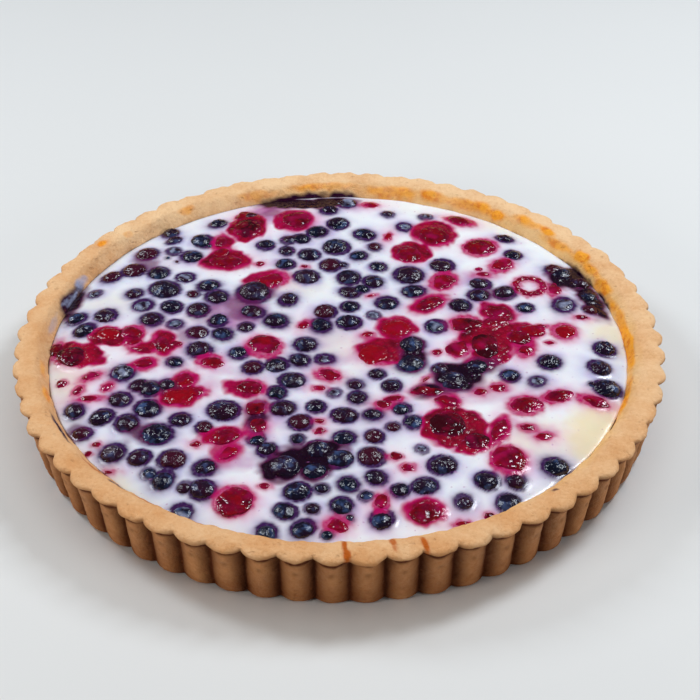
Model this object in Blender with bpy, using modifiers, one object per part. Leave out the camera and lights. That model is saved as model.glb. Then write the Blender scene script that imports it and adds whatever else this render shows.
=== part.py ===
"""Family berry cake: a fluted shortcrust shell with set custard, blueberries and raspberries baked in."""

import math
import random

import bmesh
import bpy

MM = 0.001

# Driving dimensions in millimetres
HEIGHT = 28.0
LOBE_TIP_RADIUS = 140.0
FLUTES = 64
FIRST_LOBE_DEGREES = 4.25
FLOOR_THICKNESS = 5.0
CUSTARD_BELOW_LIP = 4.5
CUSTARD_EDGE_BELOW_LIP = 7.0
CUSTARD_EDGE_WIDTH = 16.0
GAP = 0.3

CUSTARD_TOP = HEIGHT - CUSTARD_BELOW_LIP
CUSTARD_EDGE_TOP = HEIGHT - CUSTARD_EDGE_BELOW_LIP
STEPS_PER_FLUTE = 4
SEED = 28

# Crust profile from the middle of its floor, over the lip and back under: radius, height, notch depth
# between two lobes, share of the unevenness
CRUST_PROFILE = [
    (0.0, FLOOR_THICKNESS, 0.0, 0.0),
    (120.6, FLOOR_THICKNESS, 0.0, 0.0),
    (124.6, 21.6, 0.0, 0.0),
    (126.8, 26.6, 0.0, 0.0),
    (130.2, HEIGHT, 0.0, 0.0),
    (LOBE_TIP_RADIUS - 1.8, 27.6, 2.0, 0.8),
    (LOBE_TIP_RADIUS, 26.3, 3.2, 1.0),
    (LOBE_TIP_RADIUS - 0.7, 24.8, 3.3, 1.0),
    (137.0, 23.6, 3.0, 0.8),
    (134.0, 0.0, 1.2, 0.5),
    (0.0, 0.0, 0.0, 0.0),
]

# Large blueberries: name, across, along, width
BLUEBERRIES = [
    ("mid_left_biggest", -38.5, 37.0, 17.0),
    ("left_big", -79.5, 38.5, 15.5),
    ("front_big", -21.5, -83.5, 15.0),
    ("mid_right_big", 32.5, 49.0, 15.0),
    ("back_centre_big", -2.0, 74.0, 14.0),
    ("front_left_big", -47.5, -49.5, 14.5),
    ("front_left_pair", -73.5, -63.5, 14.0),
    ("cluster_right", 47.5, -30.0, 14.0),
    ("centre_back", -15.0, 48.0, 13.0),
    ("heart_right_upper", 31.0, -4.5, 12.6),
    ("heart_right_lower", 30.5, -18.2, 12.8),
    ("right_rim_lower", 111.3, -34.2, 13.0),
    ("back_left_twin", -90.5, 69.5, 12.0),
    ("back_left_maroon", -95.0, 55.0, 12.5),
    ("front_right_wide", 12.0, -78.0, 12.5),
    ("front_right_upper", 40.5, -83.5, 12.5),
    ("front_low", -16.5, -98.2, 11.5),
    ("front_right_lower", 32.5, -95.8, 11.0),
    ("front_left_dark", -65.5, -79.0, 12.0),
    ("right_rim_middle", 110.5, -21.3, 11.2),
    ("left_filmed", -91.5, -23.0, 11.5),
    ("front_left_outer", -90.0, -74.0, 11.5),
    ("back_centre_small", -0.5, 95.0, 11.0),
    ("back_rim", 4.5, 115.0, 11.0),
    ("centre_wrinkled", -6.5, 20.5, 11.0),
    ("centre_hollow", -14.5, -4.0, 11.0),
    ("right_lone", 89.5, -17.5, 11.0),
    ("right_rim_upper", 114.5, -7.0, 11.0),
    ("right_back", 54.0, 24.5, 11.0),
]

# Large raspberries: name, across, along, length, width, turn in degrees
RASPBERRIES = [
    ("front_right_dark", 43.0, -58.5, 18.0, 20.0, 20.0),
    ("front_right_dark_low", 54.5, -69.0, 12.5, 11.0, 20.0),
    ("right_dark", 63.0, -5.5, 15.0, 21.0, 0.0),
    ("left_rim_dark", -113.5, -10.5, 19.0, 15.0, -35.0),
    ("centre_right_red", 15.0, -10.5, 17.5, 15.5, 0.0),
    ("centre_right_pink", 25.0, 8.5, 15.0, 14.0, 60.0),
    ("centre_left_red", -32.5, -3.5, 16.0, 17.0, 40.0),
    ("back_right_glossy", 45.5, 83.5, 17.0, 20.0, 10.0),
    ("back_right_flat", 58.5, 98.0, 14.0, 9.0, -25.0),
    ("back_right_lone", 67.0, 73.0, 18.0, 15.0, 25.0),
    ("back_middle_pair", 33.0, 67.5, 15.0, 16.0, 0.0),
    ("back_filmed", -21.0, 99.0, 17.0, 17.0, 45.0),
    ("back_left_dark", -44.0, 92.0, 15.0, 20.0, -15.0),
    ("back_left_low", -53.0, 61.5, 19.0, 12.0, 5.0),
    ("left_low_red", -67.0, -39.5, 15.0, 12.0, 10.0),
    ("right_low_red", 76.5, -46.0, 15.5, 12.5, 15.0),
    ("front_right_pink", 66.5, -79.5, 15.5, 17.0, 0.0),
    ("front_left_pink", -40.0, -102.5, 16.5, 16.0, 0.0),
    ("front_right_oval", 31.8, -108.8, 15.0, 11.5, 5.0),
    ("left_smooth", -101.0, 4.5, 12.0, 12.0, 0.0),
    ("left_hooked", -77.0, -3.0, 9.0, 15.0, 10.0),
    ("right_long", 40.5, 26.5, 18.0, 9.5, 38.0),
    ("right_back_red", 70.5, 19.5, 15.0, 11.5, -35.0),
    ("right_round", 99.0, 4.0, 12.0, 12.5, 0.0),
    ("right_split", 78.5, 0.0, 12.0, 13.0, 0.0),
    ("front_middle_pink", -37.0, -34.0, 13.0, 11.0, -20.0),
]

# Small berries fused to the custard: across, along, width
SMALL_BERRIES = [
    (-58.5, 96.5, 8.5), (-81.0, 89.0, 9.0), (-66.0, 80.0, 10.0), (-69.0, 66.0, 9.5),
    (-105.0, 51.0, 9.5), (-83.5, 52.0, 9.5), (-71.0, 48.5, 8.0), (-59.5, 41.5, 9.0), (-4.5, 107.5, 8.0),
    (-11.0, 87.0, 9.0), (12.5, 85.0, 10.0), (-34.5, 76.5, 8.0), (-14.0, 66.5, 9.0), (-25.5, 59.0, 8.5),
    (9.5, 65.5, 8.0), (0.0, 58.5, 9.0), (4.5, 48.0, 10.0), (16.5, 44.0, 9.0), (82.0, 64.0, 8.0),
    (76.0, 56.0, 8.5), (102.0, 53.0, 10.0), (65.0, 43.0, 9.0), (47.0, 42.5, 11.0), (-55.0, 30.5, 9.5),
    (-88.5, 26.0, 9.0), (-75.5, 24.5, 9.5), (-63.0, 22.0, 9.5), (-117.0, 18.5, 8.5),
    (-104.5, 18.5, 10.0), (-83.5, 15.0, 9.5), (-53.0, 15.5, 8.5), (-112.5, 8.5, 8.5), (-62.0, 5.5, 9.0),
    (-51.0, 4.5, 8.5), (-60.5, -7.5, 10.0), (-55.0, -18.0, 8.5), (-84.5, -12.5, 8.0),
    (-22.0, 30.5, 9.0), (-38.5, 20.0, 9.5), (-27.5, 14.5, 10.0), (5.0, 36.0, 9.0), (21.5, 26.0, 9.0),
    (33.5, 36.0, 9.0), (5.0, 11.5, 9.5), (43.0, 9.0, 9.5), (-18.0, -15.5, 8.0), (-28.0, -18.5, 9.0),
    (-38.5, -21.0, 8.0), (-19.5, -29.5, 10.0), (-25.0, -39.5, 8.0), (-6.0, -26.0, 8.0),
    (21.5, -33.0, 8.0), (63.0, 33.0, 9.5), (75.5, 34.5, 9.5), (58.0, 12.0, 9.0), (72.0, -27.0, 8.0),
    (90.0, -42.0, 9.5), (103.0, -46.0, 9.0), (-109.0, -46.5, 8.5), (-97.0, -46.5, 9.0),
    (-103.5, -60.5, 8.0), (-62.0, -55.0, 8.5), (-78.5, -80.0, 8.0), (-69.5, -91.5, 9.0),
    (-52.5, -83.5, 9.0), (-54.0, -95.5, 9.5), (-60.0, -106.5, 8.0), (-24.0, -49.0, 9.5),
    (-10.5, -47.0, 8.0), (-16.5, -57.5, 9.0), (2.0, -53.0, 10.5), (24.5, -47.0, 8.0), (1.5, -66.5, 8.5),
    (14.0, -66.0, 8.5), (-31.5, -71.0, 9.0), (-8.0, -72.5, 9.0), (-3.5, -84.0, 8.5), (3.0, -96.0, 8.5),
    (84.5, -83.0, 9.5), (55.0, -93.0, 9.0), (65.5, -101.0, 9.5), (-21.5, -110.5, 8.5),
    (0.5, -108.0, 8.5), (15.5, -112.5, 8.5), (61.0, -55.0, 8.0), (-86.5, -57.0, 10.5),
    (-78.5, -47.5, 10.5), (47.5, 57.0, 10.5), (101.0, 25.0, 10.5),
]


def clear_scene():
    for item in list(bpy.data.objects):
        bpy.data.objects.remove(item, do_unlink=True)


def new_collection(name):
    made = bpy.data.collections.new(name)
    bpy.context.scene.collection.children.link(made)
    return made


def material(name, colour, roughness):
    made = bpy.data.materials.new(name)
    made.use_nodes = True
    shader = made.node_tree.nodes["Principled BSDF"]
    shader.inputs["Base Color"].default_value = (*colour, 1.0)
    shader.inputs["Roughness"].default_value = roughness
    return made


def add_object(name, shape, finish, collection):
    """An object from a bmesh in millimetres, which is freed."""
    bmesh.ops.scale(shape, vec=(MM, MM, MM), verts=shape.verts)
    mesh = bpy.data.meshes.new(name)
    shape.to_mesh(mesh)
    shape.free()
    mesh.shade_smooth()
    mesh.materials.append(finish)
    made = bpy.data.objects.new(name, mesh)
    collection.objects.link(made)
    return made


def apply_modifier(item, modifier):
    with bpy.context.temp_override(object=item, active_object=item):
        bpy.ops.object.modifier_apply(modifier=modifier.name)


# Fluted shortcrust shell: the profile is turned, then each lobe and notch is pressed into it
def build_crust(finish, collection):
    outline = bmesh.new()
    points = [outline.verts.new((radius, 0.0, height)) for radius, height, notch, share in CRUST_PROFILE]
    for first, second in zip(points, points[1:]):
        outline.edges.new((first, second))
    crust = add_object("crust", outline, finish, collection)
    turned = crust.modifiers.new("turned", "SCREW")
    turned.axis = "Z"
    turned.steps = FLUTES * STEPS_PER_FLUTE
    turned.render_steps = FLUTES * STEPS_PER_FLUTE
    turned.use_merge_vertices = True
    turned.merge_threshold = 0.00001
    apply_modifier(crust, turned)
    draw = random.Random(SEED)
    lobes = [(draw.uniform(-0.3, 0.3), draw.uniform(-0.35, 0.2)) for _ in range(FLUTES)]
    turn_to_first_notch = math.radians(FIRST_LOBE_DEGREES - 180.0 / FLUTES)
    for vertex in crust.data.vertices:
        x, y, height = (part / MM for part in vertex.co)
        radius = math.hypot(x, y)
        row = min(CRUST_PROFILE, key=lambda point: math.hypot(point[0] - radius, point[1] - height))
        turn = math.atan2(y, x) % (2.0 * math.pi)
        step = round(turn / (2.0 * math.pi) * FLUTES * STEPS_PER_FLUTE)
        out, drop = lobes[(step // STEPS_PER_FLUTE) % FLUTES]
        phase = (step % STEPS_PER_FLUTE) / STEPS_PER_FLUTE
        full = 1.0 - abs(2.0 * phase - 1.0) ** 2.2
        notch, share = row[2], row[3]
        radius += out * full * share - notch * (1.0 - full)
        if height > 25.0:
            height += drop * full * share
        turn += turn_to_first_notch
        vertex.co = (radius * math.cos(turn) * MM, radius * math.sin(turn) * MM, height * MM)
    crust.data.shade_smooth()


def crust_inside_radius(height):
    low, high = CRUST_PROFILE[1], CRUST_PROFILE[2]
    return low[0] + (high[0] - low[0]) * (height - low[1]) / (high[1] - low[1])


def custard_level(x, y):
    """Height of the custard, which sank a little towards the crust."""
    from_crust = crust_inside_radius(CUSTARD_EDGE_TOP) - math.hypot(x, y)
    sunk = 1.0 - min(from_crust / CUSTARD_EDGE_WIDTH, 1.0)
    return CUSTARD_TOP - sunk * (CUSTARD_TOP - CUSTARD_EDGE_TOP)


# Set custard, solid down to the crust's floor
def build_custard(finish, collection):
    bottom = FLOOR_THICKNESS + GAP
    disc = bmesh.new()
    bmesh.ops.create_cone(
        disc,
        cap_ends=True,
        segments=56,
        radius1=crust_inside_radius(bottom) - GAP * 1.4,
        radius2=crust_inside_radius(CUSTARD_EDGE_TOP) - GAP * 1.4,
        depth=CUSTARD_EDGE_TOP - bottom,
    )
    bmesh.ops.translate(disc, vec=(0.0, 0.0, (bottom + CUSTARD_EDGE_TOP) / 2.0), verts=disc.verts)
    top = max(disc.faces, key=lambda face: face.calc_center_median().z)
    bmesh.ops.inset_region(disc, faces=[top], thickness=CUSTARD_EDGE_WIDTH)
    bmesh.ops.translate(disc, vec=(0.0, 0.0, CUSTARD_TOP - CUSTARD_EDGE_TOP), verts=top.verts)
    return add_object("custard", disc, finish, collection)


def squashed_ball(sides, half_length, half_width, above, below):
    """A faceted ball with its own height above its waist and depth below it."""
    ball = bmesh.new()
    bmesh.ops.create_uvsphere(ball, u_segments=sides, v_segments=4, radius=1.0)
    for vertex in ball.verts:
        x, y, z = vertex.co
        vertex.co = (x * half_length, y * half_width, z * (above if z > 0.0 else below))
    return ball


def place_berry(item, x, y, waist, turn):
    item.location = (x * MM, y * MM, waist * MM)
    item.rotation_euler.z = math.radians(turn)


def build_berry(name, place, sizes, finish, collection, cutters):
    """One berry and the cutter of its pocket in the custard, a gap larger all round."""
    place_berry(add_object(name, squashed_ball(10, *sizes), finish, collection), *place)
    room = squashed_ball(10, *(size + GAP * 1.35 for size in sizes))
    pocket = add_object(name + "_pocket", room, finish, cutters)
    place_berry(pocket, *place)
    pocket.hide_render = True
    pocket.display_type = "WIRE"


# Blueberries, about half sunk in the custard
def build_blueberries(finish, collection, cutters):
    draw = random.Random(SEED + 1)
    taken = []
    for name, x, y, width in BLUEBERRIES:
        half = width / 2.0
        dip = 0.06 * width
        length = half * draw.uniform(0.95, 1.0)
        sizes = (length, half * draw.uniform(0.92, 1.0), 0.14 * width + 1.3 + dip, 0.4 * width)
        place = (x, y, custard_level(x, y) - dip, draw.uniform(0.0, 180.0))
        build_berry("blueberry_" + name, place, sizes, finish, collection, cutters)
        taken.append((x, y, half))
    return taken


# Raspberries, softened and nearly level with the custard
def build_raspberries(finish, collection, cutters):
    taken = []
    for name, x, y, length, width, turn in RASPBERRIES:
        sizes = (length / 2.0, width / 2.0, 2.3, 5.0)
        place = (x, y, custard_level(x, y) - 0.6, turn)
        build_berry("raspberry_" + name, place, sizes, finish, collection, cutters)
        taken.append((x, y, max(length, width) / 2.0))
    return taken


# Small berries, fused to the custard where they are clear of the large ones
def fuse_small_berries(custard, taken, finish):
    draw = random.Random(SEED + 2)
    small = new_collection("small_berries")
    for number, (x, y, width) in enumerate(SMALL_BERRIES):
        half = width / 2.0
        if any(math.hypot(x - tx, y - ty) < half + reach + 1.0 for tx, ty, reach in taken):
            continue
        if math.hypot(x, y) > crust_inside_radius(CUSTARD_EDGE_TOP) - half - 1.0:
            continue
        taken.append((x, y, half))
        bump = squashed_ball(6, half, half * draw.uniform(0.9, 1.0), 1.9 + 0.12 * width, 2.5)
        berry = add_object("small_berry_%03d" % number, bump, finish, small)
        place_berry(berry, x, y, custard_level(x, y) - 0.5, draw.uniform(0.0, 180.0))
    union = custard.modifiers.new("small_berries", "BOOLEAN")
    union.operation = "UNION"
    union.operand_type = "COLLECTION"
    union.collection = small
    union.solver = "EXACT"
    apply_modifier(custard, union)
    for item in list(small.objects):
        bpy.data.objects.remove(item, do_unlink=True)
    bpy.data.collections.remove(small)


def cut_pockets(custard, cutters):
    cut = custard.modifiers.new("berry_pockets", "BOOLEAN")
    cut.operation = "DIFFERENCE"
    cut.operand_type = "COLLECTION"
    cut.collection = cutters
    cut.solver = "EXACT"


clear_scene()
pastry = material("baked_pastry", (0.72, 0.46, 0.24), 0.85)
cream = material("set_custard", (0.88, 0.84, 0.78), 0.3)
navy = material("blueberry_skin", (0.02, 0.02, 0.06), 0.3)
crimson = material("raspberry_flesh", (0.42, 0.01, 0.06), 0.35)

cake = new_collection("berry_cake")
pockets = new_collection("berry_pockets")
build_crust(pastry, cake)
filling = build_custard(cream, cake)
places = build_blueberries(navy, cake, pockets) + build_raspberries(crimson, cake, pockets)
fuse_small_berries(filling, places, cream)
cut_pockets(filling, pockets)
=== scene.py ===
"""The looks of a family berry cake: fluted shortcrust, white custard, blueberries and raspberries."""

import math
import random

import bmesh
import bpy
import numpy as np
from mathutils import Matrix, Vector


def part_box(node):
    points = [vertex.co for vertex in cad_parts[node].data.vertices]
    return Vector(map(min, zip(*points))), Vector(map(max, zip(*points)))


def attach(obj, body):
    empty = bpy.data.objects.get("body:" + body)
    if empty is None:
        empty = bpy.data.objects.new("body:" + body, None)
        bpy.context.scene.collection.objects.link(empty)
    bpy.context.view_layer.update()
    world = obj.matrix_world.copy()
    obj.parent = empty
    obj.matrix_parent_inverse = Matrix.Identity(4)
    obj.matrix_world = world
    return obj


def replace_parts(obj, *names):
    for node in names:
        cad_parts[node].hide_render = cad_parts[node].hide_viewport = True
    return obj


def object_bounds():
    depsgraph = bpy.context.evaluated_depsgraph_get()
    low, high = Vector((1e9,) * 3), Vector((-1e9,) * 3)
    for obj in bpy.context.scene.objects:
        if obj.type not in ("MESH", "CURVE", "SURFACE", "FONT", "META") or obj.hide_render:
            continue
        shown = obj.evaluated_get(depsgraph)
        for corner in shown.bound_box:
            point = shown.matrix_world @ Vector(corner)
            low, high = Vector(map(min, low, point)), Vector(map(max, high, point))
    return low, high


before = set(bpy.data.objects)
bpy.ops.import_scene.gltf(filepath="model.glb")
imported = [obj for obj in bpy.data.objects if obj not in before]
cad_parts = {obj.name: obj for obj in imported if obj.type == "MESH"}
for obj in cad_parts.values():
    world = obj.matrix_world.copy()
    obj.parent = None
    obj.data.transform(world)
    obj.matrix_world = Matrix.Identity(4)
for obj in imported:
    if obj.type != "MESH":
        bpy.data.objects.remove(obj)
cad_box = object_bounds()

# The crust is one piece of shortcrust pastry, pressed into a loose-bottomed tin with 64 flutes and baked
# pale on its lip and browner down its wall, a brown that is partly painted shade. The lip swelled over the
# tin's edge, so it overhangs the wall, and the holes of the tin left a small nub on each flute, painted
# darker.
MM = 0.001
FLUTES = 64
FIRST_LOBE_DEGREES = 4.25
STEPS_PER_FLUTE = 20
CRUST_ROW_SPACING = 0.8
SEED = 28
FLOOR_TOP = 5.0

# From the inside of the floor over the lip and down the wall, in millimetres: radius, height, notch depth
# between two lobes, share of the lobes' unevenness, brown (partly painted shade), how square the lobes are
CRUST_PROFILE = np.array([
    (120.6, FLOOR_TOP, 0.0, 0.0, 0.3, 2.0),
    (124.1, 19.4, 0.0, 0.0, 0.3, 2.0),
    (125.0, 21.9, 0.0, 0.0, 0.15, 2.0),
    (126.4, 24.2, 0.0, 0.0, 0.08, 2.0),
    (128.2, 26.1, 0.0, 0.0, 0.03, 2.0),
    (130.4, 27.3, 0.0, 0.0, 0.0, 2.0),
    (132.6, 27.6, 0.0, 0.0, 0.0, 2.0),
    (134.8, 27.7, 0.1, 0.1, 0.0, 2.0),
    (137.0, 27.6, 0.8, 0.5, 0.02, 2.0),
    (138.8, 27.2, 1.9, 0.9, 0.08, 2.1),
    (139.8, 26.5, 2.7, 1.0, 0.3, 2.2),
    (140.0, 25.7, 3.0, 1.0, 0.55, 2.2),
    (139.6, 25.0, 3.2, 1.0, 0.85, 2.3),
    (138.6, 24.4, 3.8, 0.9, 1.0, 2.2),
    (138.0, 23.0, 4.2, 0.8, 0.9, 2.1),
    (137.4, 18.5, 4.1, 0.8, 0.8, 2.1),
    (136.6, 13.0, 3.7, 0.8, 0.85, 2.1),
    (135.7, 7.0, 3.2, 0.7, 0.95, 2.1),
    (134.9, 2.5, 2.7, 0.6, 1.0, 2.1),
    (134.2, 0.6, 2.3, 0.5, 1.0, 2.1),
    (132.8, 0.0, 2.0, 0.4, 1.0, 2.1),
])
LIP_HEIGHT, LIP_FADE = 24.0, 2.0
# Painted shade: a dark line just under the lip, where its overhang shades the wall
UNDER_LIP_SHADE_HEIGHT, UNDER_LIP_SHADE_HALF = 23.3, 1.3
WALL_RADIUS = 136.0
LOBE_OUT = (-0.3, 0.3)
LOBE_DROP = (-0.35, 0.2)
LOBE_DEEP = (0.7, 1.15)
NOTCH_DROP = 0.3
# Painted light and shade: the lip is paler towards the back and right and sandier towards the front and
# left
FRONT_SHADE_LEVEL, LIT_WAY = 0.65, (0.15, 0.55)
# Painted shade: the grooves between the flutes are painted darker below this height
GROOVE_SHADE_TOP, GROOVE_SHADE_FADE = 27.0, 3.0
LIP_CROWN_RADIUS = 132.0
# The inner slope is painted buttery yellow, more on the right: partly its caramel colour, partly painted
# light on its shade
SLOPE_RADIUS, SLOPE_TOP, SLOPE_FADE = 130.0, 27.2, 3.0
INNER_SHIFT, INNER_SHIFT_DEGREES = 0.8, 165.0
INNER_SHIFT_RADIUS, INNER_SHIFT_FADE = 131.0, 4.0

# Nubs on a flute: height, radius, strength
NUB_ROWS = [(17.0, 1.2, 1.0), (7.5, 1.0, 0.4)]
NUB_DEPTH = 0.35

# Unevenness of the baked surface: depth and distance between swells, and how far it shrank in all
CRUST_SWELLS = [(0.36, 14.0), (0.26, 6.0), (0.12, 2.6), (0.05, 1.5)]
CRUST_SHRINK = 0.22
FOOT_HEIGHT = 3.0
ROUGH_HEIGHT, ROUGH_FADE, ROUGH_LEAST = 8.0, 10.0, 0.35

# Marks on the lip: across, along, half length round the rim, half width across it, strength
CARAMEL_MARKS = [
    (-112, 73, 4, 2.2, 0.9), (-101, 82, 3, 2, 0.5), (-75, 105, 5, 1.8, 0.6), (-40, 121, 14, 2, 0.45),
    (-8, 128, 22, 2.2, 0.6), (28, 124, 22, 2.6, 0.65), (46, 119, 9, 2.6, 0.9), (60, 112, 34, 2.2, 0.7),
    (70, 107, 6, 3.0, 0.8), (78, 100, 5, 2.4, 1.0), (92, 90.5, 10, 2.8, 0.95), (100, 82, 7, 2.6, 1.0),
    (104, 73, 16, 2.0, 0.7), (113.5, 60, 6, 3.0, 1.0), (116.5, 51, 14, 2.0, 0.7),
    (120.5, 38, 9, 2.6, 1.0), (125.4, 2, 44, 1.9, 1.0), (120, -36, 24, 1.5, 0.8),
    (-121.5, -38, 9, 1.5, 0.6), (-126, -20, 6, 1.4, 0.45),
]
DRIP_MARKS = [
    (1.5, -131.0, 1.3, 5.5, 1.0), (2.4, -136.0, 1.8, 3.0, 1.0), (19.0, -129.0, 1.4, 3.2, 0.9),
    (19.6, -132.5, 0.9, 2.5, 0.7), (30.8, -130.5, 1.5, 5.5, 1.0), (-96.9, -84.2, 9, 0.6, 0.9),
    (-74.2, -104.7, 9, 0.6, 0.8), (-52.2, -117.2, 7, 0.5, 0.7),
]
STAIN_MARKS = [
    (-22, 122.4, 24, 2.2, 1.0), (2, 124.2, 10, 2.5, 1.0), (110, 55, 17, 2.2, 1.0),
    (119, 32, 13, 1.8, 1.0), (-122.2, 31.6, 14, 2.7, 1.0), (-112.2, -62.2, 14, 0.8, 1.0),
    (81.5, -101.5, 1.8, 1.0, 0.9), (-85.8, -95.4, 5, 0.9, 0.9),
]
# A thin bluish film on the juice smear at the left of the rim, partly a painted highlight
FILM_AND_GLINT_MARKS = [
    (-119.0, 45, 6, 1.9, 0.9), (-121.0, 36, 8, 0.6, 0.9), (-123.6, 30, 6, 0.5, 0.8),
    (-126.6, 12, 9, 1.3, 0.4),
]

PASTRY_PALE = (0.93, 0.61, 0.34)
PASTRY_SANDY = (0.76, 0.37, 0.15)
PASTRY_BUTTER_AND_LIGHT = (1.0, 0.60, 0.20)
PASTRY_BROWN = (0.36, 0.107, 0.025)
PASTRY_DARK = (0.10, 0.022, 0.004)
CARAMEL = (1.0, 0.40, 0.03)
TOFFEE = (0.80, 0.20, 0.012)
DRIP = (0.52, 0.11, 0.010)
STAIN = (0.035, 0.004, 0.026)
FILM_AND_GLINT = (0.36, 0.40, 0.60)


class Wire:
    """One output in a finish. Arithmetic on wires adds Math nodes."""

    def __init__(self, finish, socket):
        self.finish = finish
        self.socket = socket

    def _maths(self, operation, *values):
        return self.finish.node("ShaderNodeMath", {"operation": operation}, dict(enumerate(values)))

    def __add__(self, other):
        return self._maths("ADD", self, other)

    def __radd__(self, other):
        return self._maths("ADD", other, self)

    def __sub__(self, other):
        return self._maths("SUBTRACT", self, other)

    def __rsub__(self, other):
        return self._maths("SUBTRACT", other, self)

    def __mul__(self, other):
        return self._maths("MULTIPLY", self, other)

    def __rmul__(self, other):
        return self._maths("MULTIPLY", other, self)

    def __pow__(self, other):
        return self._maths("POWER", self, other)

    def clipped(self):
        return self.finish.node("ShaderNodeClamp", {}, {0: self})

    def steps_up(self, low, high):
        """0 below low and 1 above high, with a smooth step between them."""
        sockets = {0: self, 1: low, 2: high, 3: 0.0, 4: 1.0}
        return self.finish.node("ShaderNodeMapRange", {"interpolation_type": "SMOOTHSTEP"}, sockets)


class Finish:
    """A material of this cake, whose nodes are added one call at a time."""

    def __init__(self, name, **uniform):
        self.material = bpy.data.materials.new(name)
        self.material.use_nodes = True
        self.tree = self.material.node_tree
        self.shader = self.tree.nodes["Principled BSDF"]
        for socket, value in uniform.items():
            self.shader.inputs[socket.replace("_", " ")].default_value = value

    def node(self, kind, settings, sockets, output=0):
        """Any node, from its type, its settings and the values or wires of its sockets."""
        made = self.tree.nodes.new(kind)
        for name, value in settings.items():
            setattr(made, name, value)
        for name, value in sockets.items():
            if isinstance(value, Wire):
                self.tree.links.new(value.socket, made.inputs[name])
            elif isinstance(value, tuple) and made.inputs[name].type == "RGBA":
                made.inputs[name].default_value = (*value, 1.0)
            else:
                made.inputs[name].default_value = value
        return Wire(self, made.outputs[output])

    def mask(self, name):
        """One of the piece's masks, a value a point."""
        return self.node("ShaderNodeAttribute", {"attribute_name": name}, {}, "Fac")

    def grain(self, size, detail=2.0, roughness=0.5):
        """Noise from 0 to 1 with grains that many millimetres across."""
        spot = self.node("ShaderNodeTexCoord", {}, {}, "Object")
        sockets = {"Vector": spot, "Scale": 0.6 / (size * MM), "Detail": detail, "Roughness": roughness}
        return self.node("ShaderNodeTexNoise", {}, sockets)

    def lumps(self, size):
        """Round lumps that many millimetres across: 1 on top of each and 0 in the creases between."""
        spot = self.node("ShaderNodeTexCoord", {}, {}, "Object")
        sockets = {"Vector": spot, "Scale": 1.0 / (size * MM)}
        return (1.15 - 1.3 * self.node("ShaderNodeTexVoronoi", {"feature": "F1"}, sockets)).clipped()

    def blend(self, share, first, second):
        return self.node("ShaderNodeMix", {"data_type": "RGBA"}, {0: share, 6: first, 7: second}, 2)

    def set(self, **values):
        for name, value in values.items():
            self.tree.links.new(value.socket, self.shader.inputs[name.replace("_", " ")])

    def bump(self, height, depth, strength=1.0):
        """A bump from 0 to 1 times that many millimetres deep."""
        sockets = {"Height": height, "Distance": depth * MM, "Strength": strength}
        self.set(Normal=self.node("ShaderNodeBump", {}, sockets))


def through(points, spacing):
    """Rows about one spacing apart on a smooth curve through the given rows, which start with a place."""
    reach = np.append(0.0, np.cumsum(np.hypot(*np.diff(points[:, :2], axis=0).T)))
    slopes = np.gradient(points, reach, axis=0)
    places = np.linspace(0.0, reach[-1], int(reach[-1] / spacing) + 1)
    first = np.clip(np.searchsorted(reach, places, side="right") - 1, 0, len(reach) - 2)
    span = (reach[first + 1] - reach[first])[:, None]
    t = (places - reach[first])[:, None] / span
    ends = points[first] * (2 * t**3 - 3 * t**2 + 1) + points[first + 1] * (3 * t**2 - 2 * t**3)
    return ends + span * (slopes[first] * (t**3 - 2 * t**2 + t) + slopes[first + 1] * (t**3 - t**2))


def waves(points, size, draw, count=9):
    """Smooth unevenness of about -1 to 1 at each point, with swells about that size apart."""
    ways = draw.normal(size=(points.shape[-1], count))
    ways *= 2.0 * math.pi / size * draw.uniform(0.7, 1.3, count) / np.linalg.norm(ways, axis=0)
    return np.sin(points @ ways + draw.uniform(0.0, 2.0 * math.pi, count)).sum(-1) / math.sqrt(2.0 * count)


def rings(rows, columns):
    """The quads between closed rings of points, one ring a row."""
    row, column = np.meshgrid(np.arange(rows - 1), np.arange(columns), indexing="ij")
    beside = (column + 1) % columns
    corners = [row * columns + column, (row + 1) * columns + column, (row + 1) * columns + beside]
    return np.stack(corners + [row * columns + beside], -1).reshape(-1, 4)


def fan(centre, ring):
    """Triangles from a centre to a closed ring, facing up where the ring runs anticlockwise."""
    return np.stack([np.full(len(ring), centre), ring, np.roll(ring, -1)], -1)


def add_piece(name, points, faces, finish, masks):
    """An object from points in millimetres, lists of faces and one value a point for each mask."""
    low, high = (np.array(corner) for corner in cad_box)
    mesh = bpy.data.meshes.new(name)
    corners = sum((part.tolist() for part in faces), [])
    mesh.from_pydata(np.clip(points * MM, low, high).tolist(), [], corners)
    mesh.shade_smooth()
    for mask, values in masks.items():
        layer = mesh.attributes.new(mask, "FLOAT", "POINT")
        layer.data.foreach_set("value", np.clip(values, 0.0, 1.0).astype(np.float32).ravel())
    mesh.materials.append(finish.material)
    piece = bpy.data.objects.new(name, mesh)
    bpy.context.scene.collection.objects.link(piece)
    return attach(piece, "root")


def rim_marks(points, marks, draw, edge=0.45):
    """How much of a mark lies on each point: soft blots, longer round the rim than across it."""
    found = np.zeros(len(points))
    ragged = 0.05 * waves(points, 3.5, draw) + 0.15 * waves(points, 9.0, draw)
    radius, turn = np.hypot(*points[:, :2].T), np.arctan2(points[:, 1], points[:, 0])
    for x, y, along, across, strength in marks:
        apart = (turn - math.atan2(y, x) + math.pi) % (2.0 * math.pi) - math.pi
        inside = 1.0 - np.hypot((radius - math.hypot(x, y)) / across, apart * radius / along) + ragged
        found = np.maximum(found, strength * np.clip(inside / edge, 0.0, 1.0))
    return found


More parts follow.
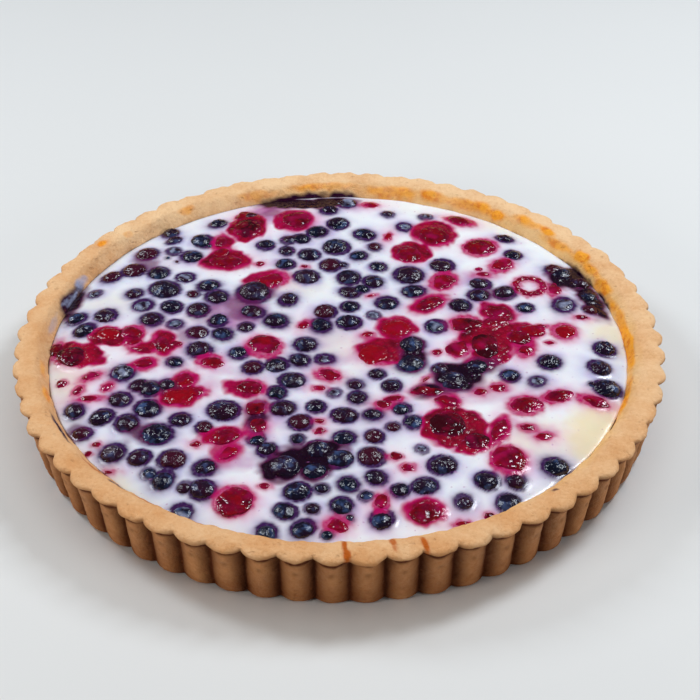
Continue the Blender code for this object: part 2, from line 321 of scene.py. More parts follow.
def crust_points(draw):
    """The crust's points by row, with the brown, the painted shade in grooves and under the lip, and the
    nub at each.
    """
    profile = np.vstack([CRUST_PROFILE[:1], through(CRUST_PROFILE[1:], CRUST_ROW_SPACING)])
    radius, height, notch, share, browning_and_shade, square = (column[:, None] for column in profile.T)
    step = np.arange(FLUTES * STEPS_PER_FLUTE)
    same_lobes = random.Random(SEED)
    lobes = [(same_lobes.uniform(*LOBE_OUT), same_lobes.uniform(*LOBE_DROP)) for _ in range(FLUTES)]
    out, drop = np.array(lobes)[step // STEPS_PER_FLUTE].T
    full = 1.0 - np.abs(2.0 * (step % STEPS_PER_FLUTE) / STEPS_PER_FLUTE - 1.0) ** square
    turn = math.radians(FIRST_LOBE_DEGREES - 180.0 / FLUTES) + 2.0 * math.pi * step / len(step)
    deep = draw.uniform(*LOBE_DEEP, FLUTES)
    deep = np.interp(step / STEPS_PER_FLUTE, np.arange(FLUTES + 1), np.append(deep, deep[0]))
    radius = radius + out * full * share - notch * deep * (1.0 - full)
    inner = np.clip((INNER_SHIFT_RADIUS - radius) / INNER_SHIFT_FADE, 0.0, 1.0)
    radius = radius + INNER_SHIFT * np.cos(turn - math.radians(INNER_SHIFT_DEGREES)) * inner
    lip = np.clip((height - LIP_HEIGHT) / LIP_FADE, 0.0, 1.0)
    height = height + lip * share * (drop * full - NOTCH_DROP * (1.0 - full))
    way = np.gradient(profile[:, :2], axis=0)
    way /= np.linalg.norm(way, axis=1)[:, None]
    rough = np.clip((height - ROUGH_HEIGHT) / ROUGH_FADE, ROUGH_LEAST, 1.0)
    even = np.stack([radius * np.cos(turn), radius * np.sin(turn), height], -1)
    swell = sum(depth * waves(even, size, draw) for depth, size in CRUST_SWELLS) - CRUST_SHRINK
    swell = np.where(height < FOOT_HEIGHT, np.minimum(swell, 0.0) * height / FOOT_HEIGHT, swell * rough)
    flute_width = 2.0 * math.pi * WALL_RADIUS / FLUTES
    beside = np.abs((step % STEPS_PER_FLUTE) / STEPS_PER_FLUTE - 0.5) * flute_width
    outside = profile[:, :1] > LIP_CROWN_RADIUS
    nubs = np.zeros_like(full)
    for nub_height, nub_size, strength in NUB_ROWS:
        apart = np.hypot(beside, height - nub_height) / nub_size
        nubs = nubs + strength * np.exp(-apart**2) * outside
    swell = swell - NUB_DEPTH * nubs
    radius = radius - swell * way[:, 1:2]
    height = height + swell * way[:, 0:1]
    points = np.stack([radius * np.cos(turn), radius * np.sin(turn), height], -1)
    # Painted shade in the grooves and in a line under the lip
    groove_shade = np.clip((GROOVE_SHADE_TOP - height) / GROOVE_SHADE_FADE, 0.0, 1.0) * (1.0 - full) ** 0.8
    under_lip_shade = np.exp(-(((height - UNDER_LIP_SHADE_HEIGHT) / UNDER_LIP_SHADE_HALF) ** 2))
    groove_shade = np.maximum(groove_shade, under_lip_shade) * outside
    # Painted light: the lobes' crests are painted a little less brown
    return points, browning_and_shade - 0.12 * full, groove_shade, nubs


def build_crust():
    """The whole shell, from the floor over the lip to the foot, closed by a disc at each end."""
    draw = np.random.default_rng(SEED)
    points, browning_and_shade, groove_shade, nubs = crust_points(draw)
    rows, columns = points.shape[:2]
    points = points.reshape(-1, 3)
    middle = np.array([(0.0, 0.0, FLOOR_TOP), (0.0, 0.0, 0.0)])
    last_ring = np.arange(columns) + (rows - 1) * columns
    floor_fans = [fan(len(points), np.arange(columns)), fan(len(points) + 1, last_ring)[:, ::-1]]
    everything = np.concatenate([points, middle])
    radius = np.hypot(*everything[:, :2].T)
    slope_tint_and_light = np.clip((SLOPE_TOP - everything[:, 2]) / SLOPE_FADE, 0.0, 1.0) * (radius < SLOPE_RADIUS)
    masks = {
        "front_shade": FRONT_SHADE_LEVEL - everything[:, :2] @ LIT_WAY / radius.clip(1.0),
        "slope_tint_and_light": slope_tint_and_light * np.clip(0.5 + 0.7 * everything[:, 0] / SLOPE_RADIUS, 0.0, 1.0),
        "browning_and_shade": np.append(browning_and_shade.ravel(), (0.3, 0.85)),
        "groove_shade": np.append(groove_shade.ravel(), (0.0, 0.0)),
        "nub": np.append(nubs.ravel(), (0.0, 0.0)),
        "caramel": rim_marks(everything, CARAMEL_MARKS, draw, 0.5),
        "drip": rim_marks(everything, DRIP_MARKS, draw, 0.4) * (everything[:, 2] > UNDER_LIP_SHADE_HEIGHT),
        "stain": rim_marks(everything, STAIN_MARKS, draw, 0.4),
        "film": rim_marks(everything, FILM_AND_GLINT_MARKS, draw),
    }
    return add_piece("crust_shell", everything, [rings(rows, columns), *floor_fans], pastry_finish(), masks)


def pastry_finish():
    """Sandy shortcrust, brown down the wall partly as painted shade, with caramel and juice baked on."""
    finish = Finish("baked_pastry", Specular_IOR_Level=0.2)
    browning_and_shade, coarse, fine = finish.mask("browning_and_shade"), finish.grain(9.0, 3.0), finish.grain(2.2, 4.0, 0.6)
    crumb = finish.grain(0.8, 3.0, 0.7)
    # Painted shade: sandier towards the front and left, paler towards the lit back and right
    sandy = 0.1 + 0.6 * finish.mask("front_shade") + 1.6 * (coarse - 0.5) + 0.9 * (crumb - 0.5)
    base = finish.blend(sandy.clipped(), PASTRY_PALE, PASTRY_SANDY)
    # Buttery tint on the inner slope, partly its own colour and partly painted light
    base = finish.blend(finish.mask("slope_tint_and_light") * (0.2 + 0.6 * coarse), base, PASTRY_BUTTER_AND_LIGHT)
    brown = finish.blend(((0.6 * fine + coarse - 0.68) * 1.8).clipped(), PASTRY_BROWN, PASTRY_SANDY)
    # Brown down the wall, partly real baking and partly painted shade
    browned_and_shaded = (browning_and_shade + 0.4 * (coarse - 0.5) + 0.3 * (fine - 0.5) + 0.25 * (crumb - 0.5)).clipped()
    base = finish.blend(browned_and_shaded, base, brown)
    # Painted shade in the grooves and under the lip
    base = finish.blend((finish.mask("groove_shade") * (0.7 + 0.8 * fine)).clipped(), base, PASTRY_DARK)
    # The nub's dent is painted darker
    base = finish.blend((finish.mask("nub") * 0.45).clipped(), base, PASTRY_DARK)
    toffee = finish.blend(fine.steps_up(0.45, 0.65) * 0.8, CARAMEL, TOFFEE)
    base = finish.blend((finish.mask("caramel") * (0.2 + 1.7 * coarse)).clipped(), base, toffee)
    base = finish.blend(finish.mask("drip"), base, DRIP)
    base = finish.blend(finish.mask("stain"), base, STAIN)
    # Bluish film on the left juice smear, partly a painted highlight
    base = finish.blend(finish.mask("film") * (0.3 + fine), base, FILM_AND_GLINT)
    # Painted shade: small pits, dented by the bump, are painted browner
    pits = 1.0 - finish.grain(1.8, 1.0).steps_up(0.2, 0.33)
    base = finish.blend(pits * 0.25, base, PASTRY_BROWN)
    finish.set(Base_Color=base, Roughness=0.84 - 0.6 * finish.mask("stain") - 0.35 * finish.mask("caramel"))
    finish.bump(crumb * 0.6 + fine * 0.7 - pits * 0.3, 1.0)
    return finish


crust = build_crust()
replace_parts(crust, "crust")

# Blueberries are whole fruit that sank to about half their height as the custard set. Their skins are
# nearly black, wet and wrinkled, and some burst, turned maroon or came up under a thin film of custard.
MAROON_LARGE = (
    "back_left_maroon", "centre_wrinkled", "back_left_twin", "front_left_dark", "front_right_wide",
)
FILMED_LARGE = ("left_filmed", "back_rim")

# Small blueberries by look: across, along, width
SMALL_BLUEBERRIES = {
    "dark": [
        (-58.5, 96.5, 8.5), (-81, 90, 9), (-78.5, 81.5, 7.5), (-66, 80, 10.5), (-69, 66, 9.5),
        (-83.5, 52, 9.5), (-59.5, 41.5, 9.5), (-61.5, 75.5, 3), (-80.5, 65.5, 2.5), (-4.5, 108, 8),
        (-10.5, 87.5, 9.5), (12.5, 85, 10), (-18, 81, 8.5), (-23.5, 80.5, 7), (-34.5, 76.5, 8),
        (-25, 70.5, 7.5), (-14, 67, 10), (-25.5, 59.5, 8.5), (9, 66, 8), (2, 58.5, 5), (18, 56.5, 7.5),
        (4.5, 48, 11), (16, 44, 9.5), (24, 103.5, 6), (47.5, 56.5, 10.5), (79.5, 81.5, 8),
        (82, 65.5, 8), (64, 42, 9), (-93, 35.5, 7.5), (-55, 32, 10), (-75.5, 25, 9.5), (-63, 23, 10),
        (-117, 18.5, 8.5), (-104.5, 18, 10), (-83.5, 15.5, 9.5), (-53.5, 15, 8.5), (-112, 8, 9.5),
        (-51.5, 4.5, 8.5), (-41, 9, 7), (-60.5, -7, 10.5), (-43.5, -9.5, 8), (-70, -16, 7),
        (-84, -32, 8), (-79, -34, 10), (-72, -32, 8), (-91, -41.5, 9), (-22.5, 31, 9), (-39, 21, 10),
        (-28.5, 14, 10), (4.5, 36, 9), (10.5, 38.5, 7), (33.5, 36, 10), (21.5, 26, 9.5), (-8, 10.5, 10),
        (5, 24.5, 8), (4, 13, 10.5), (-17, -15, 8.5), (-27, -18.5, 9.5), (-19.5, -29.5, 10.5),
        (-26, -37.5, 8.5), (15.5, -25, 7), (6.5, -32.5, 6.5), (21.5, -33, 8), (7.5, -41, 8),
        (42.5, -22, 8), (63.5, 32.5, 9.5), (75, 35, 10), (83, 22.5, 7.5), (72, -26.5, 8),
        (105.5, -32.5, 4), (58.5, -20.5, 9.5), (-109, -46.5, 8.5), (-97, -52.5, 10), (-78.5, -48, 11),
        (-86, -56.5, 10.5), (-64.5, -55, 8.5), (-79, -77.5, 9), (-68.5, -90.5, 9.5), (-74, -86, 6),
        (-52.5, -84, 9), (-53, -96, 10), (-60, -95, 6), (-23.5, -48, 10), (-10, -46.5, 8),
        (2, -52.5, 10.5), (13.5, -52, 7.5), (25, -49, 7.5), (30, -57, 8), (-17, -67, 6.5),
        (1.5, -67, 8.5), (-33, -68, 7), (-29, -73, 8), (-8.5, -73.5, 10), (0, -79, 11),
        (-10, -86.5, 9.5), (-7, -96.5, 6), (3, -94.5, 8.5), (13.5, -90.5, 8.5), (10, -101, 6),
        (23, -97.5, 7.5), (-21, -108.5, 9), (-10.5, -107.5, 6), (0.5, -106.5, 8.5), (3.5, -112, 4),
        (15.5, -113.5, 9), (-14, -117.5, 9), (-27.5, -118.5, 8), (-5, -120, 5), (84.5, -83, 10),
        (56, -92.5, 9.5), (67.5, -92, 8), (64, -103, 10), (47, -104, 7), (103, 51, 10), (111, 44, 9),
        (113, 33, 8),
    ],
    "maroon": [
        (-105, 51, 9.5), (-76, 62, 2.5), (17, 74, 6.5), (-4, 58.5, 9.5), (-66.5, 35, 6), (-62, 5.5, 9),
        (-37, -20, 8.5), (-104, -61, 8), (-54.5, -59.5, 7.5), (-16.5, -56.5, 9.5), (21.5, -60, 6),
        (13.5, -66, 8.5), (99.5, 54, 9), (-43, 103, 7), (112, 22, 7),
    ],
    "filmed": [
        (-78, 71.5, 7), (-71, 48.5, 8.5), (32, 91.5, 7.5), (43, 101.5, 6.5), (-111, 37.5, 6.5),
        (-88.5, 26, 9), (-72.5, 12, 7), (15.5, 18, 6.5), (42.5, 9, 9.5), (-6.5, -15, 8), (-2, -37.5, 6),
        (101, 25, 10.5), (83, -30.5, 7), (-59.5, -107, 8.5), (32.5, -73.5, 5.5),
    ],
}

SMALL_SCALE = 1.1
SMALL_DEPTH = 0.35
SMALL_NARROWEST = 0.86
TINY_HALF = 3.6
LARGE_DIP = 0.12
SMALL_DIP = 0.5

# How high a small blueberry stands: share of its width, and millimetres more
SMALL_HEIGHTS = {"dark": (0.2, 0.9), "maroon": (0.2, 0.9), "filmed": (0.12, 0.7)}

# A blueberry's crown and slack skin: angles in radians, depths as shares of its radius
CROWN_LEAN = (0.2, 1.5)
CROWN_HOLLOW, CROWN_HOLLOW_ANGLE = 0.17, 0.3
CROWN_RIM, CROWN_RIM_ANGLE, CROWN_RIM_WIDTH = 0.06, 0.46, 0.12
CROWN_POINTS = 5
SKIN_RADIUS, SKIN_SWELL = 0.95, 0.03
FOLD_DEPTH, FOLD_WIDTH = 0.07, 0.35
CREASE_DEPTH, CREASE_WIDTH = 0.06, 0.22
DENT_DEPTH, DENT_START = 0.1, 0.4
WRINKLED = (0.6, 1.4)

CUSTARD_TOP = 23.5
CUSTARD_SINK = 2.5
CUSTARD_LEVEL_RADIUS = 108.0
CUSTARD_EDGE = 124.9

SKIN_NAVY = (0.004, 0.006, 0.02)
SKIN_PURPLE = (0.014, 0.002, 0.016)
SKIN_MAROON = (0.05, 0.003, 0.016)
PAINTED_SKIN_SHEEN = (0.05, 0.09, 0.22)
BLOOM = (0.34, 0.38, 0.56)


def custard_level(x, y):
    """Height of the custard, which sank a little towards the crust."""
    toward = (np.hypot(x, y) - CUSTARD_LEVEL_RADIUS) / (CUSTARD_EDGE - CUSTARD_LEVEL_RADIUS)
    return CUSTARD_TOP - CUSTARD_SINK * np.clip(toward, 0.0, 1.0)


def ball(fineness):
    """The points and triangles of a round ball of radius 1."""
    shape = bmesh.new()
    bmesh.ops.create_icosphere(shape, subdivisions=fineness, radius=1.0)
    points = np.array([vertex.co for vertex in shape.verts])
    faces = np.array([[vertex.index for vertex in face.verts] for face in shape.faces])
    shape.free()
    return points, faces


def node_ball(name):
    """Centre, half length, half width and turn of a berry's solid, found from its own points."""
    low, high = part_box(name)
    centre = np.array((low + high) / 2.0) / MM
    flat = np.array([vertex.co[:2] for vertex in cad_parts[name].data.vertices]) / MM - centre[:2]
    ways = np.linalg.eigh(flat.T @ flat)[1]
    halves = np.abs(flat @ ways).max(0)
    turn = math.atan2(ways[1, 1], ways[0, 1])
    return centre[0], centre[1], halves[1], halves[0], turn


def place(unit, x, y, halves, turn, waist, above, below):
    """A berry's unit form at its size and place, with its own height above its waist and depth below it."""
    c, s = math.cos(turn), math.sin(turn)
    across, along = unit[:, 0] * halves[0], unit[:, 1] * halves[1]
    height = unit[:, 2] * np.where(unit[:, 2] > 0.0, above, below) + waist
    return np.stack([x + c * across - s * along, y + s * across + c * along, height], -1)


def blueberry_form(unit, draw, wrinkled):
    """A round fruit with the hollow crown at one end and slack skin in folds that run from it."""
    lean = draw.uniform(*CROWN_LEAN)
    way = draw.uniform(0.0, 2.0 * math.pi)
    crown = np.array([math.sin(lean) * math.cos(way), math.sin(lean) * math.sin(way), math.cos(lean)])
    apart = np.arccos(np.clip(unit @ crown, -1.0, 1.0))
    side = np.cross(crown, (0.3, 0.5, 0.8))
    side /= np.linalg.norm(side)
    round_crown = np.arctan2(unit @ np.cross(crown, side), unit @ side)
    radius = SKIN_RADIUS + SKIN_SWELL * waves(unit, 1.5, draw)
    radius -= CROWN_HOLLOW * np.exp(-((apart / CROWN_HOLLOW_ANGLE) ** 2))
    crown_rim = np.exp(-(((apart - CROWN_RIM_ANGLE) / CROWN_RIM_WIDTH) ** 2))
    radius += CROWN_RIM * (1.0 + 0.5 * np.cos(CROWN_POINTS * round_crown)) * crown_rim
    folds = np.sin(draw.integers(6, 10) * round_crown + 1.2 * waves(unit, 1.3, draw))
    radius -= wrinkled * FOLD_DEPTH * np.exp(-((folds / FOLD_WIDTH) ** 2)) * np.sin(apart) ** 2
    radius -= wrinkled * CREASE_DEPTH * np.exp(-((waves(unit, 0.8, draw) / CREASE_WIDTH) ** 2))
    radius -= wrinkled * DENT_DEPTH * np.clip(waves(unit, 1.6, draw) - DENT_START, 0.0, 1.0)
    return unit * radius[:, None]


def blueberry_finish():
    """Wet, nearly black skin with a painted blue sheen, maroon or filmed where the masks say so."""
    finish = Finish("blueberry_skin", Specular_IOR_Level=0.6)
    patch, fine = finish.grain(4.0, 2.0), finish.grain(0.9, 3.0, 0.6)
    base = finish.blend(patch.steps_up(0.35, 0.65), SKIN_NAVY, SKIN_PURPLE)
    # Painted reflection: patches of blue sheen on the skin
    base = finish.blend(finish.grain(2.5, 2.0).steps_up(0.5, 0.75) * 0.85, base, PAINTED_SKIN_SHEEN)
    base = finish.blend((finish.mask("maroon") * (0.6 + 0.8 * patch)).clipped(), base, SKIN_MAROON)
    base = finish.blend((finish.mask("film") * (fine + 0.35)).clipped(), base, BLOOM)
    finish.set(Base_Color=base, Roughness=0.1 + 0.16 * patch + 0.15 * finish.mask("film"))
    finish.bump(fine * 0.8 + patch * 0.8, 0.5, 0.9)
    return finish


def build_blueberries(name, fineness, berries, finish):
    """Berries of one kind as one piece. Each is (x, y, halves, turn, waist, above, below, look)."""
    fine_ball, plain_ball = ball(fineness), ball(fineness - 1)
    draw = np.random.default_rng(SEED + len(berries))
    points, corners, maroon, film = [], [], [], []
    total = 0
    for *where, look in berries:
        unit, faces = fine_ball if where[2][0] > TINY_HALF else plain_ball
        form = blueberry_form(unit, draw, draw.uniform(*WRINKLED))
        points.append(place(form, *where))
        corners.append(faces + total)
        total += len(unit)
        maroon.append(np.full(len(unit), {"maroon": 1.0}.get(look, draw.choice([0.0, 0.0, 0.15, 0.35]))))
        over = 0.7 if look == "filmed" else 0.0
        film.append(over * np.clip(0.35 + 1.1 * waves(unit, 0.9, draw), 0.0, 1.0))
    masks = {"maroon": np.concatenate(maroon), "film": np.concatenate(film)}
    piece = add_piece(name, np.concatenate(points), [np.concatenate(corners)], finish, masks)
    return piece


blueberry_nodes = sorted(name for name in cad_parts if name.startswith("blueberry_"))
large_blueberries = []
for node in blueberry_nodes:
    x, y, half_length, half_width, turn = node_ball(node)
    low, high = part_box(node)
    kind = node[len("blueberry_"):]
    look = "maroon" if kind in MAROON_LARGE else "filmed" if kind in FILMED_LARGE else "dark"
    waist = custard_level(x, y) - LARGE_DIP * half_length
    sizes = ((half_length, half_width), turn, waist, high.z / MM - waist, waist - low.z / MM)
    large_blueberries.append((x, y, *sizes, look))

small_blueberries = []
small_draw = random.Random(SEED + 2)
for look, berries in SMALL_BLUEBERRIES.items():
    for x, y, width in berries:
        width *= SMALL_SCALE
        halves = (width / 2.0, width / 2.0 * small_draw.uniform(SMALL_NARROWEST, 1.0))
        above = SMALL_HEIGHTS[look][0] * width + SMALL_HEIGHTS[look][1]
        turn = small_draw.uniform(0.0, math.pi)
        waist = custard_level(x, y) - SMALL_DIP
        small_blueberries.append((x, y, halves, turn, waist, above, SMALL_DEPTH * width, look))

skin = blueberry_finish()
blueberries = build_blueberries("blueberries_large", 5, large_blueberries, skin)
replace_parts(blueberries, *blueberry_nodes)
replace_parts(build_blueberries("blueberries_small", 4, small_blueberries, skin), "custard")

# Raspberries are whole fruit that softened in the oven until they lay nearly level with the custard. Their
# drupelets slumped, so they show as crimson lumps with fine glints, and many broke into small pieces.
SMOOTH_RASPBERRIES = ("centre_right_red", "centre_right_pink", "left_smooth", "left_low_red", "right_round")
DARK_RASPBERRIES = (
    "front_right_dark", "front_right_dark_low", "right_dark", "left_rim_dark", "back_left_dark",
)

# Pieces of raspberry: across, along, length, width, turn in degrees, darkness
RASPBERRY_BITS = [
    (-47, 103, 9, 6, 60, 0.9), (15.5, 113, 7, 6, 0, 0.3), (23.6, 83, 6, 3, 70, 0.2),
    (-31, 46, 13, 11, 20, 0.3), (-37, 60, 4, 3, 0, 0.3), (-16, 57.5, 3, 2.5, 0, 0.3),
    (76.5, 57.5, 10, 8, 40, 0.3), (65, 54.5, 3, 2.5, 0, 0.3), (67, 50, 6, 3, 0, 0.3),
    (48, 44, 13, 10, 60, 0.4), (-122.8, -4.5, 10, 5, 85, 0.9), (-91, 5.5, 8.5, 8, 0, 0.6),
    (-71, -3, 5, 4, 0, 0.3), (-85, -7, 10, 4, -15, 0.3), (-83.5, -16.5, 9, 7, 30, 0.3),
    (-55, -16, 9, 8, 0, 0.5), (-116.5, -28, 4, 4, 0, 0.6), (-105, -25, 7, 4, 30, 0.5),
    (-109, -34, 6, 4, 80, 0.6), (-97, -33, 6, 4, 70, 0.6), (-103, -40, 8, 3, 0, 0.4),
    (-64.5, -29, 9, 7, 60, 0.2), (-5, -25.5, 9, 7, -20, 0.4), (-15.5, 11, 6, 4, 60, 0.3),
    (-8.5, -34.5, 5, 3, 0, 0.2), (15, 33, 4, 2, 20, 0.2), (36, -29, 5, 1.8, 50, 0.3),
    (22, -42, 7, 4, 20, 0.4), (42, -10, 4, 3.5, 80, 0.4), (12.5, 3, 5, 4, 0, 0.1),
    (98, 37, 9, 5, 80, 0.4), (107.5, 15.5, 5, 3, 0, 0.7), (88.5, 8.5, 6, 3, 0, 0.4),
    (91, -3.5, 3.5, 3, 0, 0.5), (56, 11, 12, 10, 0, 0.8), (51, -8, 10, 8, 80, 0.5),
    (90, -41, 11, 7, 20, 0.6), (104, -43, 11, 6, -20, 0.6), (58.5, -37.5, 5, 4, 0, 0.5),
    (66, -35, 6, 5, 0, 0.2), (-57.5, -70, 4, 3.5, 0, 0.5), (-90.5, -84, 4, 2, 0, 0.5),
    (-97, -68, 3, 3, 0, 0.5), (-100, -72.5, 3, 2.5, 0, 0.5), (-34, -48, 9, 7, 80, 0.9),
    (-33, -59, 10, 7, 80, 0.8), (-8.5, -56, 4, 3, 0, 0.4), (-8, -62, 4, 4, 0, 0.4),
    (18, -45.5, 6.5, 5, 0, 0.7), (22, -78, 5, 4, 0, 0.6), (26.5, -84.5, 5, 4, 0, 0.3),
    (-1, -115.5, 7.5, 6, 0, 0.5), (15.5, -104.5, 9, 5, 80, 0.4), (-29, -94.5, 4, 3, 0, 0.2),
    (44, -43, 8, 7, 0, 0.5), (64, -62, 14, 6, 70, 0.5), (75.5, -61, 6, 4, -20, 0.5),
    (81.5, -66, 6, 4, 10, 0.5), (56, -109.5, 4, 3, 0, 0.9), (46, -114, 6, 2.5, 0, 0.3),
    (-57, 79, 10, 5, 80, 0.7), (-55, 70, 8, 6, 40, 0.4), (-46, -66, 12, 7, 10, 0.5),
    (-44, -76, 10, 6, 60, 0.2), (-60, -37, 8, 6, 20, 0.2), (-65, -27, 8, 5, 80, 0.1),
    (34, -36, 8, 5, 20, 0.9), (39, -37.5, 7, 5, 0, 1.0), (84, 5, 11, 9, 0, 0.3),
    (68, 12, 12, 7, 20, 0.5), (80, -9, 8, 6, 60, 0.3), (-90, -1, 7, 5, 0, 0.4),
]
BIT_SCALE, BIT_DARKNESS = 1.2, 0.65
RING_CENTRE, RING_RADIUS, RING_PIECES = (87.0, 40.0), 6.2, 13
RING_PIECE_HALVES = (2.7, 2.1)
RASPBERRY_DIP, BIT_DIP, BIT_DEPTH = 0.25, 0.1, 1.9
BIT_HEIGHT, BIT_HEIGHT_SHARE, BIT_HIGHEST = 1.1, 0.07, 1.7
RING_PIECE_HEIGHT = 1.4

# Drupelets: how many for the half length times the half width, how far each lies off an even pattern,
# how wide it is, and as shares of the berry's radius where it starts and how far it stands out
DRUPELET_SHARE, FEWEST_DRUPELETS, MOST_DRUPELETS = 0.55, 7, 60
DRUPELET_SCATTER, DRUPELET_REACH = 0.32, 2.1
SLUMPED_RADIUS, DRUPELET_DOME, DRUPELET_SINK = 0.9, 0.13, 0.06
BROAD_LUMP, FINE_LUMP = 0.09, 0.06

# How firm a raspberry's drupelets are, and how dark it is
FIRM, FIRM_BIT, FIRM_RING, SMOOTH_FIRM, SMOOTH_BELOW = 1.0, 0.8, 0.6, 0.35, 0.5
DARK_RASPBERRY, SMOOTH_RASPBERRY, PLAIN_RASPBERRY, RING_DARKNESS = 0.95, 0.15, 0.45, 0.2

CRIMSON = (0.26, 0.001, 0.030)
RED = (0.36, 0.001, 0.010)
BLACK_CRIMSON = (0.04, 0.0005, 0.005)
PINK = (0.50, 0.003, 0.11)


def raspberry_form(unit, draw, drupelets, firm, broken):
    """A slumped raspberry: drupelets on an uneven lump, and how far each point is up on its drupelet."""
    steps = np.arange(drupelets) + 0.5
    lean = np.arccos(1.0 - 2.0 * steps / drupelets)
    turn = math.pi * (1.0 + math.sqrt(5.0)) * steps + draw.uniform(0.0, 6.0)
    seeds = np.stack([np.sin(lean) * np.cos(turn), np.sin(lean) * np.sin(turn), np.cos(lean)], -1)
    seeds += draw.normal(scale=DRUPELET_SCATTER / math.sqrt(drupelets), size=seeds.shape)
    seeds /= np.linalg.norm(seeds, axis=1)[:, None]
    nearness = unit @ seeds.T
    own = nearness.argmax(1)
    apart = np.arccos(np.clip(nearness.max(1), -1.0, 1.0)) * math.sqrt(drupelets) / DRUPELET_REACH
    dome = np.sqrt(np.clip(1.0 - apart**2, 0.0, 1.0))
    height = firm * draw.uniform(0.35, 1.0, drupelets)[own]
    radius = SLUMPED_RADIUS + DRUPELET_DOME * height * dome - DRUPELET_SINK * height
    lump = 1.0 + (BROAD_LUMP * waves(unit, 1.9, draw) + FINE_LUMP * waves(unit, 1.0, draw)) * broken
    form = unit * radius[:, None]
    form[:, :2] *= lump[:, None]
    return form, dome * 0.6 + 0.4 * draw.uniform(0.0, 1.0, drupelets)[own]


def raspberry_finish():
    """Wet crimson flesh with painted shade in the hollows and pinker where it meets the custard."""
    finish = Finish("raspberry_flesh", Specular_IOR_Level=0.5)
    patch, fine, lumps = finish.grain(3.0, 2.0), finish.grain(0.8, 2.0), finish.lumps(2.4)
    smooth = finish.mask("smooth")
    base = finish.blend((patch.steps_up(0.4, 0.6) + smooth).clipped(), CRIMSON, RED)
    # Painted shade: darker in the hollows between drupelets and lumps
    hollow = 1.0 - 0.5 * finish.mask("drupelet") - 0.5 * lumps
    dark = finish.mask("dark") * (2.2 * patch - 0.35) + 0.9 * hollow * (0.25 + finish.mask("dark"))
    base = finish.blend((dark + 0.4 * (fine - 0.5)).clipped(), base, BLACK_CRIMSON)
    pink = finish.mask("rim") * (0.1 + 1.5 * patch) + 0.5 * finish.grain(4.5, 1.0).steps_up(0.52, 0.7)
    base = finish.blend((pink * (1.0 - finish.mask("dark") - 0.6 * smooth)).clipped(), base, PINK)
    finish.set(Base_Color=base, Roughness=0.08 + 0.14 * fine)
    finish.bump(fine * 0.3 + lumps * 0.8, 0.5, 0.9)
    return finish


def build_raspberries(name, fineness, berries, finish, broken):
    """Berries of one kind as one piece. Each is (x, y, halves, turn, waist, above, below, dark, firm)."""
    unit, faces = ball(fineness)
    draw = np.random.default_rng(SEED + len(berries))
    points, corners, drupelet, dark, smooth = [], [], [], [], []
    for number, (*where, darkness, firm) in enumerate(berries):
        halves = where[2]
        drupelets = DRUPELET_SHARE * halves[0] * halves[1]
        drupelets = int(np.clip(drupelets, FEWEST_DRUPELETS, MOST_DRUPELETS))
        form, shade = raspberry_form(unit, draw, drupelets, firm, broken)
        points.append(place(form, *where))
        corners.append(faces + number * len(unit))
        drupelet.append(shade)
        smooth.append(np.full(len(unit), 1.0 if firm < SMOOTH_BELOW else 0.0))
        dark.append(np.clip(darkness * (0.75 + 0.35 * waves(unit, 1.5, draw)), 0.0, 1.0))
    everything = np.concatenate(points)
    proud = everything[:, 2] - custard_level(*everything[:, :2].T)
    masks = {
        "drupelet": np.concatenate(drupelet),
        "dark": np.concatenate(dark),
        "smooth": np.concatenate(smooth),
        "rim": 1.0 - np.clip((proud - 0.1) / 0.8, 0.0, 1.0),
    }
    piece = add_piece(name, everything, [np.concatenate(corners)], finish, masks)
    return piece


raspberry_nodes = sorted(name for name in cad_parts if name.startswith("raspberry_"))
large_raspberries = []
for node in raspberry_nodes:
    x, y, half_length, half_width, turn = node_ball(node)
    low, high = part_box(node)
    kind = node[len("raspberry_"):]
    waist = custard_level(x, y) - RASPBERRY_DIP
    darkness, firm = PLAIN_RASPBERRY, FIRM
    if kind in DARK_RASPBERRIES:
        darkness = DARK_RASPBERRY
    elif kind in SMOOTH_RASPBERRIES:
        darkness, firm = SMOOTH_RASPBERRY, SMOOTH_FIRM
    sizes = ((half_length, half_width), turn, waist, high.z / MM - waist, waist - low.z / MM)
    large_raspberries.append((x, y, *sizes, darkness, firm))

raspberry_bits = []
for x, y, length, width, turn, darkness in RASPBERRY_BITS:
    above = min(BIT_HIGHEST, BIT_HEIGHT + BIT_HEIGHT_SHARE * width)
    halves = (BIT_SCALE * length / 2.0, BIT_SCALE * width / 2.0)
    sizes = (halves, math.radians(turn), custard_level(x, y) - BIT_DIP, above, BIT_DEPTH)
    raspberry_bits.append((x, y, *sizes, BIT_DARKNESS * darkness, FIRM_BIT))
for piece_number in range(RING_PIECES):
    angle = 2.0 * math.pi * (piece_number + 0.5) / RING_PIECES
    x = RING_CENTRE[0] + RING_RADIUS * math.cos(angle)
    y = RING_CENTRE[1] + RING_RADIUS * math.sin(angle)
    waist = CUSTARD_TOP - BIT_DIP
    sizes = (RING_PIECE_HALVES, angle + math.pi / 2.0, waist, RING_PIECE_HEIGHT, BIT_DEPTH)
    raspberry_bits.append((x, y, *sizes, RING_DARKNESS, FIRM_RING))

flesh = raspberry_finish()
raspberries = build_raspberries("raspberries_large", 5, large_raspberries, flesh, broken=1.2)
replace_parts(raspberries, *raspberry_nodes)
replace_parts(build_raspberries("raspberry_pieces", 4, raspberry_bits, flesh, broken=2.6), "custard")

